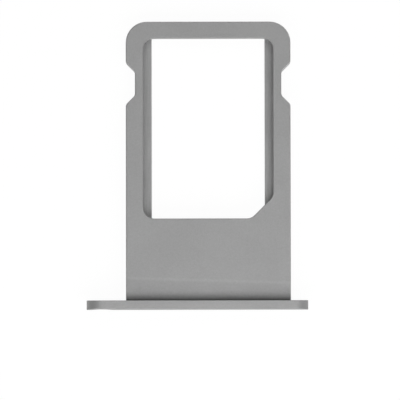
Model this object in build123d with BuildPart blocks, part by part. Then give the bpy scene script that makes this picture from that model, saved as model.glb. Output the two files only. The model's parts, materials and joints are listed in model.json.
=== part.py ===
"""Nano SIM card tray: a one-piece aluminium card frame with a crowned face plate."""

from build123d import *

import os
from math import radians, tan

# All sizes are in millimetres. X runs across the tray, Y from the face plate to the tip, and Z up, with
# the card side on top. The origin lies under the middle of the piece, level with the plate's lower edge.

# Card that the tray carries
card_width = 8.80
card_length = 12.30
card_thickness = 0.67
card_side_clearance = 0.07
card_top_clearance = 0.03

# Card seat
seat_corner_radius = 0.75
seat_corner_cut = 1.51
seat_lead_in = 0.04
ledge_width = 0.57
ledge_thickness = 0.40
window_edge_break = 0.04
window_edge_angle = 45

# Card frame
rail_width = 1.205
tip_bar_width = 1.13
root_land_length = 5.63
tip_corner_radius = 1.45
frame_edge_radius = 0.08

# Detent notches, one in each rail
notch_from_tip = 4.28
notch_mouth_length = 2.87
notch_depth = 0.63
notch_flank_angle = 45
notch_corner_radius = 0.35

# Face plate
plate_height = 2.15
plate_thickness = 0.65
plate_crown = 0.09
plate_edge_radius = 0.04
right_overhang = 1.20

# Eject pin hole, on the axis of the plate's left round end
pin_hole_diameter = 1.15
pin_hole_chamfer = 0.13
pin_hole_to_frame = 1.07

# Sizes that follow from the card
seat_width = card_width + 2 * card_side_clearance
seat_length = card_length + 2 * card_side_clearance
seat_depth = card_thickness + card_top_clearance
window_width = seat_width - 2 * ledge_width
window_edge_depth = window_edge_break / tan(radians(window_edge_angle))
frame_width = seat_width + 2 * rail_width
frame_length = root_land_length + seat_length + tip_bar_width
frame_thickness = ledge_thickness + seat_depth

# Sizes that follow from the frame and the pin hole
left_overhang = plate_height / 2 + pin_hole_diameter / 2 + pin_hole_to_frame
plate_width = left_overhang + frame_width + right_overhang
overall_length = plate_thickness + frame_length

# Places
plate_back_y = plate_thickness - overall_length / 2
plate_front_y = plate_back_y - plate_thickness
plate_middle_z = plate_height / 2
pin_hole_x = plate_height / 2 - plate_width / 2
frame_x = (left_overhang - right_overhang) / 2
frame_bottom_z = plate_middle_z - frame_thickness / 2
root_depth = (plate_thickness - plate_crown) / 2

# Planes: the plate is drawn from the front, and the frame and its seat from above, from the plate's back
plate_plane = Plane((0, plate_back_y, plate_middle_z), x_dir=(1, 0, 0), z_dir=(0, -1, 0))
pin_hole_plane = Plane((pin_hole_x, plate_front_y, plate_middle_z), x_dir=(1, 0, 0), z_dir=(0, -1, 0))
frame_plane = Plane((frame_x, plate_back_y, frame_bottom_z))
seat_plane = frame_plane.offset(ledge_thickness)
seat_middle = (0, root_land_length + seat_length / 2)

# Places of the notches on the frame's plane, each turned to face its rail
notch_y = frame_length - notch_from_tip
right_notch = Location((frame_width / 2, notch_y, 0), (0, 0, 90))
left_notch = Location((-frame_width / 2, notch_y, 0), (0, 0, -90))

with BuildPart() as sim_card_tray:
    # Face plate: a slot outline, with its front crowned from the lower to the upper edge
    with BuildSketch(plate_plane):
        SlotOverall(plate_width, plate_height)
    extrude(amount=plate_thickness)
    with BuildSketch(Plane.YZ):
        with BuildLine():
            edge_y = plate_front_y + plate_crown
            Polyline((edge_y, plate_height), (plate_back_y, plate_height), (plate_back_y, 0), (edge_y, 0))
            ThreePointArc((edge_y, 0), (plate_front_y, plate_middle_z), (edge_y, plate_height))
        make_face()
    extrude(amount=plate_width / 2, both=True, mode=Mode.INTERSECT)
    plate_faces = sim_card_tray.faces().sort_by(Axis.Y)
    fillet(plate_faces[0].edges() + plate_faces[-1].edges(), plate_edge_radius)

    # Eject pin hole, with its front rim chamfered to guide the pin
    with Locations(pin_hole_plane):
        Hole(pin_hole_diameter / 2)
    chamfer(sim_card_tray.edges(Select.LAST).sort_by(Axis.Y)[0], pin_hole_chamfer)

    # Card frame: its root runs into the plate, and each rail has a notch near the tip
    with BuildSketch(frame_plane) as frame_outline:
        with Locations((0, frame_length)):
            Rectangle(frame_width, frame_length + root_depth, align=(Align.CENTER, Align.MAX))
        fillet(frame_outline.vertices().group_by(Axis.Y)[-1], tip_corner_radius)
        with Locations(left_notch, right_notch):
            Trapezoid(
                notch_mouth_length,
                notch_depth,
                notch_flank_angle,
                align=(Align.CENTER, Align.MIN),
                mode=Mode.SUBTRACT,
            )
        fillet(frame_outline.vertices(Select.LAST), notch_corner_radius)
    extrude(amount=frame_thickness)

    # Upper and lower rims of the frame, rounded from one side of its root to the other
    lower_face, upper_face = sim_card_tray.faces().filter_by(Axis.Z).sort_by(Axis.Z)[1:-1]
    lower_rim = lower_face.edges().sort_by(Axis.Y)[1:]
    upper_rim = upper_face.edges().sort_by(Axis.Y)[1:]
    fillet(lower_rim + upper_rim, frame_edge_radius)

    # Card seat: the card's outline with its cut corner, sunk from above down to the two ledges, with a
    # lead-in round its upper rim
    with BuildSketch(seat_plane) as seat_outline:
        with Locations(seat_middle):
            Rectangle(seat_width, seat_length)
        chamfer(seat_outline.vertices().group_by(Axis.Y)[0].sort_by(Axis.X)[-1], seat_corner_cut)
        fillet(seat_outline.vertices(), seat_corner_radius)
    extrude(amount=seat_depth, mode=Mode.SUBTRACT)
    seat_rim = sim_card_tray.faces().filter_by(Axis.Z).sort_by(Axis.Z)[-2].inner_wires()[0].edges()
    chamfer(seat_rim, seat_lead_in)

    # Window: the part of the seat's outline between the ledges, cut right through
    with BuildSketch(frame_plane) as window_outline:
        add(seat_outline.sketch_local)
        with Locations(seat_middle):
            Rectangle(window_width, seat_length, mode=Mode.INTERSECT)
    extrude(amount=ledge_thickness, mode=Mode.SUBTRACT)

    # Edge break round the window's lower rim, narrowing upward to the window's own outline
    with BuildSketch(frame_plane):
        add(window_outline.sketch_local)
        offset(amount=window_edge_break, kind=Kind.INTERSECTION)
    extrude(amount=window_edge_depth, taper=window_edge_angle, mode=Mode.SUBTRACT)

sim_card_tray.part.label = "sim_card_tray"

os.makedirs("parts", exist_ok=True)
export_step(sim_card_tray.part, "parts/sim_card_tray.step")
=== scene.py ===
import json
import math

import bpy
from mathutils import Matrix, Vector


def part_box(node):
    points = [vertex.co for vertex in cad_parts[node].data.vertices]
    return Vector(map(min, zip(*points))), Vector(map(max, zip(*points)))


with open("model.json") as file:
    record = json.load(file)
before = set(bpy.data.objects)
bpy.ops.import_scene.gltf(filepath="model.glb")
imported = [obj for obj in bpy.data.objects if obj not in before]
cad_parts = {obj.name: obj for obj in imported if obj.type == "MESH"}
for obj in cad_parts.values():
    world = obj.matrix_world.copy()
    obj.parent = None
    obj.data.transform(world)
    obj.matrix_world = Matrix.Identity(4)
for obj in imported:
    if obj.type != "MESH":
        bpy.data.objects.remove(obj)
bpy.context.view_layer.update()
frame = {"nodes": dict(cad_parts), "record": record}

TRAY = "sim_card_tray"

# Lengths are in metres, and MM turns a length in millimetres into one.
MM = 0.001

# Sizes of the tray that its record doesn't give
LEDGE_WIDTH = 0.57 * MM
LEDGE_THICKNESS = 0.40 * MM
SEAT_LENGTH = 12.44 * MM
SEAT_LEAD_IN = 0.04 * MM
PLATE_EDGE_RADIUS = 0.04 * MM
FRAME_EDGE_RADIUS = 0.08 * MM
PIN_HOLE_CHAMFER = 0.13 * MM

# Places on the tray, from its box and its mounts
TRAY_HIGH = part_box(TRAY)[1]
MOUNTS = {mount["name"]: mount for mount in frame["record"]["mounts"]}
PLATE_BACK_Y = MOUNTS["plate_back"]["pos_m"][1]
LEFT_LEDGE = Vector(MOUNTS["left_card_ledge"]["pos_m"])
RIGHT_LEDGE = Vector(MOUNTS["right_card_ledge"]["pos_m"])
SEAT_LEFT_X = LEFT_LEDGE.x - LEDGE_WIDTH / 2
SEAT_RIGHT_X = RIGHT_LEDGE.x + LEDGE_WIDTH / 2
SEAT_NEAR_Y = LEFT_LEDGE.y - SEAT_LENGTH / 2
SEAT_FAR_Y = LEFT_LEDGE.y + SEAT_LENGTH / 2
PIN_HOLE = Vector(MOUNTS["eject_hole"]["pos_m"])
PIN_HOLE_RIM_RADIUS = MOUNTS["eject_hole"]["dims"]["r_mm"] * MM + PIN_HOLE_CHAMFER

# The floor: the tray rests on the lower back edge of its plate and on the lower edge of its tip.
REST_Y = PLATE_BACK_Y - PLATE_EDGE_RADIUS
TIP_Y = TRAY_HIGH.y - FRAME_EDGE_RADIUS
TIP_Z = LEFT_LEDGE.z - LEDGE_THICKNESS
FLOOR_TILT = math.atan2(TIP_Z, TIP_Y - REST_Y)
FLOOR_SIDE = 2.0
FLOOR_COLOR = (0.92, 0.92, 0.92, 1.0)
FLOOR_WHITE_SHARE = 0.96

# The view from straight above the floor
IMAGE_SIDE_PX = 400
PX_PER_MM = 14.53
AIM = Vector((0.188, -2.374, 1.625)) * MM
CAMERA_DISTANCE = 300 * MM
CAMERA_ROLL = math.radians(0.1)
SENSOR_WIDTH = 36.0
CLIP_START = 1 * MM
CLIP_END = 10.0

# The lamps: azimuth from +x and tilt from overhead in degrees, then distance, size and radiance
KEY = {
    "azimuth": 280.0,
    "tilt": 44.0,
    "distance": 150 * MM,
    "size": (242 * MM, 112 * MM),
    "radiance": 3.48,
}
FILL = {
    "azimuth": 74.0,
    "tilt": 34.0,
    "distance": 700 * MM,
    "size": (530 * MM, 400 * MM),
    "radiance": 2.54,
}

# The surroundings: white along the horizon, above it dark on the left and grey on the right, and grey
# overhead. A fade says where it begins and ends, in sines of the angle above the horizon.
SKY_COLOR = (1.0, 1.0, 1.0, 1.0)
HORIZON_LEVEL = 1.0
LOW_LEVEL_LEFT = 0.03
LOW_LEVEL_RIGHT = 0.40
OVERHEAD_LEVEL = 0.30
HORIZON_FADE = (0.05, 0.07)
OVERHEAD_FADE = (0.05, 0.35)

# The metal's grey, from the record, and its roughness, and how far they wander
METAL_GREY = frame["record"]["materials"][0]["base_color"][0]
CLOUD_SWING = 0.02
MOTTLE_SWING = 0.015
GRAIN_SWING = 0.05
CUTTER_SWING = 0.05
ROUGHNESS = (0.62, 0.68)
EDGE_ROUGHNESS = 0.48

# How much of its grey the metal shows in places: paler on worn edges and a little lighter on the plate. The
# rest is painted light: painted shade on the ledges, with two shades, by the walls and by the window,
# painted shade in the corner at the plate's root, a wider painted shadow of the plate, painted shade in the
# pin hole, a painted highlight line across the land and painted shade from it to the plate
LEDGE_PAINTED_SHADES = (0.92, 0.99)
EDGE_SHADE = 1.30
PLATE_SHADE = 1.035
ROOT_PAINTED_SHADE = 0.33
PLATE_PAINTED_SHADOW = 0.73
PIN_HOLE_PAINTED_SHADE = 0.55
LAND_PAINTED_HIGHLIGHT = 1.045
LAND_PAINTED_SHADE = 0.965

# The metal's texture: cells to a millimetre, and how deep it is
CLOUD_CELLS = 0.35
EDGE_WEAR_CELLS = 3.0
MOTTLE_CELLS = 6.0
CUTTER_CELLS = 14.0
GRAIN_CELLS = 28.0
CUTTER_STRETCH = 0.036
TEXTURE_DEPTH = 0.003 * MM
BUMP_STRENGTH = 0.5
NOISE_SPAN = (0.3, 0.7)
EDGE_WEAR = (0.6, 1.0)

# Where each finish and each painted shade lies: the ledges and what is off the seat, the painted shade in
# the root's dark corner by the plate and the wider painted shadow of the plate along it, and a faint
# painted highlight line across the land, with slightly darker painted shade from it to the plate.
# A pair says where each begins and where it is full.
BORDER = 0.02 * MM
OFF_LEDGE = (2 * BORDER, BORDER)
OFF_SEAT = (-2 * SEAT_LEAD_IN, -3 * SEAT_LEAD_IN)
ROOT_PAINTED_SHADE_REACH = 0.165 * MM
PLATE_PAINTED_SHADOW_REACH = 0.68 * MM
LAND_LINE_FROM_PLATE = 1.40 * MM
LAND_LINE_Y = PLATE_BACK_Y + LAND_LINE_FROM_PLATE
LAND_LINE_SLOPE = -0.03
LAND_LINE_HALF_WIDTH = 0.03 * MM
LAND_LINE_FADE = 0.14 * MM
LAND_PAINTED_SHADE_FADE = 2 * LAND_LINE_FADE

# How level a face is, from 0 for an upright one to 1, where a finish begins and where it is full
LEVEL_FACE = (0.85, 0.98)
UPRIGHT_FACE = (0.20, 0.05)
ROUNDED_EDGE = (0.10, 0.30, 0.85, 0.98)

# How far a face is turned to the back, from -1 for one that faces the front to 1, in the same way
NOT_BACKWARD = (0.9, 0.5)


class Graph:
    """A node tree with short calls for the nodes that a material or the world needs."""

    def __init__(self, tree):
        self.tree = tree
        tree.nodes.clear()

    def node(self, kind, inputs=None, **settings):
        made = self.tree.nodes.new("ShaderNode" + kind)
        for name, value in settings.items():
            setattr(made, name, value)
        for name, value in (inputs or {}).items():
            self.put(made.inputs[name], value)
        return made

    def put(self, socket, value):
        if isinstance(value, bpy.types.NodeSocket):
            self.tree.links.new(value, socket)
        else:
            socket.default_value = value

    def math(self, operation, *values):
        return self.node("Math", dict(enumerate(values)), operation=operation).outputs[0]

    def product(self, *values):
        made = values[0]
        for value in values[1:]:
            made = self.math("MULTIPLY", made, value)
        return made

    def ramp(self, value, start, full, low=0.0, high=1.0):
        """From low at the start to high at the full mark, with soft ends, whichever mark is larger."""
        if start > full:
            start, full, low, high = full, start, high, low
        marks = {"Value": value, "From Min": start, "From Max": full, "To Min": low, "To Max": high}
        return self.node("MapRange", marks, interpolation_type="SMOOTHSTEP").outputs["Result"]

    def band(self, value, start, full, last_full, end):
        return self.product(self.ramp(value, start, full), self.ramp(value, end, last_full))

    def inside(self, value, low, high):
        """How far inside the nearer of two limits a value is, and below 0 where it is outside."""
        return self.math("MINIMUM", self.math("SUBTRACT", value, low), self.math("SUBTRACT", high, value))

    def mix(self, mask, a, b):
        return self.node("Mix", {0: mask, 2: a, 3: b}, data_type="FLOAT").outputs[0]

    def shade(self, mask, factor):
        """1 where the mask is 0, and the factor where it is 1."""
        return self.mix(mask, 1.0, factor)

    def split(self, vector):
        return self.node("SeparateXYZ", {0: vector}).outputs

    def stretch(self, vector, factors):
        return self.node("VectorMath", {0: vector, 1: factors}, operation="MULTIPLY").outputs[0]

    def noise(self, place, cells):
        return self.node("TexNoise", {"Vector": place, "Scale": cells / MM}).outputs["Fac"]

    def swing(self, noise, amount):
        """A factor that wanders with a noise by the amount to each side of 1."""
        return self.ramp(noise, *NOISE_SPAN, 1.0 - amount, 1.0 + amount)

    def grey(self, value):
        return self.node("CombineColor", {0: value, 1: value, 2: value}).outputs[0]


def new_material(name):
    material = bpy.data.materials.new(name)
    material.use_nodes = True
    return material, Graph(material.node_tree)


def shown_ray(graph):
    """1 for rays that show a surface: from the camera, a gloss or through something clear."""
    path = graph.node("LightPath").outputs
    seen = graph.math("MAXIMUM", path["Is Camera Ray"], path["Is Glossy Ray"])
    return graph.math("MAXIMUM", seen, path["Is Transmission Ray"])


def floor_material():
    material, graph = new_material("floor_white")
    lit = graph.node("BsdfDiffuse", {"Color": FLOOR_COLOR})
    white = graph.node("Emission", {"Strength": 1.0})
    share = graph.math("MULTIPLY", shown_ray(graph), FLOOR_WHITE_SHARE)
    both = graph.node("MixShader", {0: share, 1: lit.outputs[0], 2: white.outputs[0]})
    graph.node("OutputMaterial", {"Surface": both.outputs[0]})
    return material


def seat_shares(graph, x, y, z, up):
    """Shares of the ledge finish and of what lies off the seat, and the painted shade along the ledges,
    darker by the walls.
    """
    off_ledge = graph.math("ABSOLUTE", graph.math("SUBTRACT", z, LEFT_LEDGE.z))
    height = graph.ramp(off_ledge, *OFF_LEDGE)
    from_side = graph.inside(x, SEAT_LEFT_X, SEAT_RIGHT_X)
    from_end = graph.inside(y, SEAT_NEAR_Y, SEAT_FAR_Y)
    in_seat = graph.math("MINIMUM", from_side, from_end)
    return {
        "ledge": graph.product(height, graph.ramp(up, *LEVEL_FACE)),
        # painted shade: the ledges are darker by the seat walls
        "ledge_grey": graph.ramp(from_side, 0.0, LEDGE_WIDTH, *LEDGE_PAINTED_SHADES),
        "off_seat": graph.ramp(in_seat, *OFF_SEAT),
    }


def pin_hole_shade_share(graph, x, z, back):
    """The share of the painted shade on the pin hole's wall and chamfer, which face anywhere but back."""
    across = graph.math("POWER", graph.math("SUBTRACT", x, PIN_HOLE.x), 2.0)
    upward = graph.math("POWER", graph.math("SUBTRACT", z, PIN_HOLE.z), 2.0)
    from_axis = graph.math("SQRT", graph.math("ADD", across, upward))
    within = graph.ramp(from_axis, PIN_HOLE_RIM_RADIUS, PIN_HOLE_RIM_RADIUS - BORDER)
    return graph.product(within, graph.ramp(back, *NOT_BACKWARD))


def near_plate(graph, y, reach):
    """1 at the plate's back, and 0 where the reach ends."""
    return graph.ramp(y, PLATE_BACK_Y + reach, PLATE_BACK_Y)


def finish_and_shade_shares(graph, place, normal):
    """The share of each finish, painted shade and painted highlight at a point, from 0 to 1, by its place
    and the way it faces.
    """
    x, y, z = graph.split(place)
    _, back, up = graph.split(normal)
    level = graph.math("ABSOLUTE", up)
    on_frame = graph.ramp(y, PLATE_BACK_Y, PLATE_BACK_Y + BORDER)
    on_level = graph.product(on_frame, graph.ramp(level, *LEVEL_FACE))
    on_top = graph.product(on_frame, graph.ramp(up, *LEVEL_FACE))
    line_y = graph.math("MULTIPLY_ADD", x, LAND_LINE_SLOPE, LAND_LINE_Y)
    past_line = graph.math("SUBTRACT", y, line_y)
    line = graph.ramp(graph.math("ABSOLUTE", past_line), LAND_LINE_FADE, LAND_LINE_HALF_WIDTH)
    shares = seat_shares(graph, x, y, z, up)
    shares["edge"] = graph.product(on_frame, shares["off_seat"], graph.band(level, *ROUNDED_EDGE))
    shares["wall"] = graph.product(on_frame, graph.ramp(level, *UPRIGHT_FACE))
    shares["plate"] = near_plate(graph, y, BORDER)
    # painted shade in the corner at the plate's root, and a wider painted shadow of the plate along it
    shares["root"] = graph.product(on_level, near_plate(graph, y, ROOT_PAINTED_SHADE_REACH))
    shares["root_strip"] = graph.product(on_level, near_plate(graph, y, PLATE_PAINTED_SHADOW_REACH))
    # a painted highlight line across the land, and painted shade from it to the plate
    shares["land_line"] = graph.product(on_top, line)
    shares["land_strip"] = graph.product(on_top, graph.ramp(past_line, 0.0, -LAND_PAINTED_SHADE_FADE))
    # painted shade in the pin hole
    shares["pin_hole"] = pin_hole_shade_share(graph, x, z, back)
    return shares


def cutter_lines(graph, place, shares):
    """Fine lines that a cutter leaves: along the ledges, and round the upright walls."""
    along_ledges = graph.stretch(place, (1.0, CUTTER_STRETCH, 1.0))
    round_walls = graph.stretch(place, (CUTTER_STRETCH, CUTTER_STRETCH, 1.0))
    on_ledges = graph.noise(along_ledges, CUTTER_CELLS)
    on_walls = graph.noise(round_walls, CUTTER_CELLS)
    return graph.mix(shares["ledge"], on_walls, on_ledges)


def metal_grey(graph, place, shares, mottle, grain, cut, lines):
    return graph.product(
        graph.swing(graph.noise(place, CLOUD_CELLS), CLOUD_SWING),
        graph.swing(mottle, MOTTLE_SWING),
        graph.swing(grain, GRAIN_SWING),
        graph.shade(cut, graph.swing(lines, CUTTER_SWING)),
        # painted shade on the ledges, darker by the seat walls
        graph.shade(shares["ledge"], shares["ledge_grey"]),
        graph.shade(shares["worn"], EDGE_SHADE),
        graph.shade(shares["plate"], PLATE_SHADE),
        # painted shade at the root and along the plate, in the pin hole and on the land, and a painted
        # highlight line
        graph.shade(shares["root"], ROOT_PAINTED_SHADE),
        graph.shade(shares["root_strip"], PLATE_PAINTED_SHADOW),
        graph.shade(shares["pin_hole"], PIN_HOLE_PAINTED_SHADE),
        graph.shade(shares["land_line"], LAND_PAINTED_HIGHLIGHT),
        graph.shade(shares["land_strip"], LAND_PAINTED_SHADE),
        METAL_GREY,
    )


def tray_material():
    """Blasted and anodised metal, with cutter lines in the seat and on the walls, and paler edges. It has
    painted shade on the ledges, at the plate's root and in the pin hole, and a painted highlight line
    across the land.
    """
    material, graph = new_material("anodised_metal_satin")
    coordinates = graph.node("TexCoord").outputs
    place = coordinates["Object"]
    shares = finish_and_shade_shares(graph, place, coordinates["Normal"])
    wear = graph.ramp(graph.noise(place, EDGE_WEAR_CELLS), *NOISE_SPAN, *EDGE_WEAR)
    shares["worn"] = graph.product(shares["edge"], wear)
    cut = graph.math("MAXIMUM", shares["ledge"], shares["wall"])
    lines = cutter_lines(graph, place, shares)
    mottle = graph.noise(place, MOTTLE_CELLS)
    grain = graph.noise(place, GRAIN_CELLS)

    blasted = graph.ramp(mottle, *NOISE_SPAN, *ROUGHNESS)
    texture = graph.mix(cut, grain, lines)
    bump = graph.node("Bump", {"Strength": BUMP_STRENGTH, "Distance": TEXTURE_DEPTH, "Height": texture})
    metal = graph.node(
        "BsdfPrincipled",
        {
            "Base Color": graph.grey(metal_grey(graph, place, shares, mottle, grain, cut, lines)),
            "Metallic": 1.0,
            "Roughness": graph.mix(shares["worn"], blasted, EDGE_ROUGHNESS),
            "Normal": bump.outputs[0],
        },
    )
    graph.node("OutputMaterial", {"Surface": metal.outputs[0]})
    return material


def dress_tray():
    frame["nodes"][TRAY].material_slots[0].material = tray_material()


def make_floor():
    half = FLOOR_SIDE / 2
    mesh = bpy.data.meshes.new("floor")
    corners = [(-half, -half, 0), (half, -half, 0), (half, half, 0), (-half, half, 0)]
    mesh.from_pydata(corners, [], [(0, 1, 2, 3)])
    floor = bpy.data.objects.new("floor", mesh)
    floor.matrix_world = Matrix.Translation((0, REST_Y, 0)) @ Matrix.Rotation(FLOOR_TILT, 4, "X")
    floor.data.materials.append(floor_material())
    bpy.context.scene.collection.objects.link(floor)


def set_world():
    world = bpy.data.worlds.new("studio")
    bpy.context.scene.world = world
    world.use_nodes = True
    graph = Graph(world.node_tree)
    right, _, up = graph.split(graph.node("TexCoord").outputs["Generated"])
    low = graph.ramp(right, -1.0, 1.0, LOW_LEVEL_LEFT, LOW_LEVEL_RIGHT)
    sky = graph.mix(graph.ramp(up, *OVERHEAD_FADE), low, OVERHEAD_LEVEL)
    level = graph.mix(graph.ramp(up, *HORIZON_FADE), HORIZON_LEVEL, sky)
    light = graph.node("Background", {"Color": SKY_COLOR, "Strength": level})
    graph.node("OutputWorld", {"Surface": light.outputs[0]})


def make_lamp(name, azimuth, tilt, distance, size, radiance):
    turn, lean = math.radians(azimuth), math.radians(tilt)
    toward = Vector((math.sin(lean) * math.cos(turn), math.sin(lean) * math.sin(turn), math.cos(lean)))
    data = bpy.data.lights.new(name, "AREA")
    data.shape = "RECTANGLE"
    data.size, data.size_y = size
    data.energy = radiance * math.pi * data.size * data.size_y
    lamp = bpy.data.objects.new(name, data)
    lamp.location = toward * distance
    lamp.rotation_mode = "QUATERNION"
    lamp.rotation_quaternion = toward.to_track_quat("Z", "Y")
    lamp.visible_camera = False
    bpy.context.scene.collection.objects.link(lamp)


def make_camera():
    data = bpy.data.cameras.new("camera")
    data.sensor_width = SENSOR_WIDTH
    data.lens = SENSOR_WIDTH * CAMERA_DISTANCE * PX_PER_MM / (IMAGE_SIDE_PX * MM)
    data.clip_start = CLIP_START
    data.clip_end = CLIP_END
    camera = bpy.data.objects.new("camera", data)
    turn = Matrix.Rotation(FLOOR_TILT, 4, "X") @ Matrix.Rotation(-CAMERA_ROLL, 4, "Z")
    camera.matrix_world = Matrix.Translation(AIM + turn @ Vector((0, 0, CAMERA_DISTANCE))) @ turn
    bpy.context.scene.collection.objects.link(camera)
    bpy.context.scene.camera = camera


dress_tray()
make_floor()
set_world()
make_lamp("key", **KEY)
make_lamp("fill", **FILL)
make_camera()
bpy.context.scene.view_settings.view_transform = "Standard"
